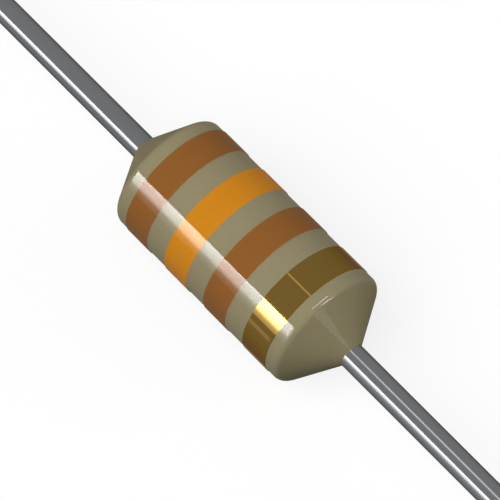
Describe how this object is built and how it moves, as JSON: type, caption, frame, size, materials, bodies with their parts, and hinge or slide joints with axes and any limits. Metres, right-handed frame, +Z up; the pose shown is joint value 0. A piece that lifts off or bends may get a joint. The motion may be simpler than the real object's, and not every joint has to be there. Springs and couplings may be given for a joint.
{
  "type": "axial inductor",
  "caption": "Axial-leaded moulded choke: a round epoxy body with coned ends and painted colour bands, a wound ferrite core inside, and a straight tinned lead out of each end.",
  "frame": {"origin": "middle of the body, on the lead axis", "axes": "+X along the leads, from the first digit band towards the tolerance band; +Z up when the part lies on its side"},
  "size_m": [0.0628, 0.003, 0.003],
  "materials": {
    "epoxy": "gloss",
    "paint_brown": "gloss",
    "paint_orange": "gloss",
    "paint_gold": "polished",
    "tinned_wire": "polished",
    "ferrite": "matte",
    "enamelled_copper": "polished",
    "adhesive": "satin",
    "solder": "satin"
  },
  "bodies": {
    "root": {"body_moulding": "epoxy", "first_digit_band": "paint_brown", "second_digit_band": "paint_orange", "multiplier_band": "paint_brown", "tolerance_band": "paint_gold", "start_lead": "tinned_wire", "finish_lead": "tinned_wire", "ferrite_core": "ferrite", "winding": "enamelled_copper", "start_lead_bond": "adhesive", "finish_lead_bond": "adhesive", "start_solder_joint": "solder", "finish_solder_joint": "solder"}
  },
  "joints": []
}
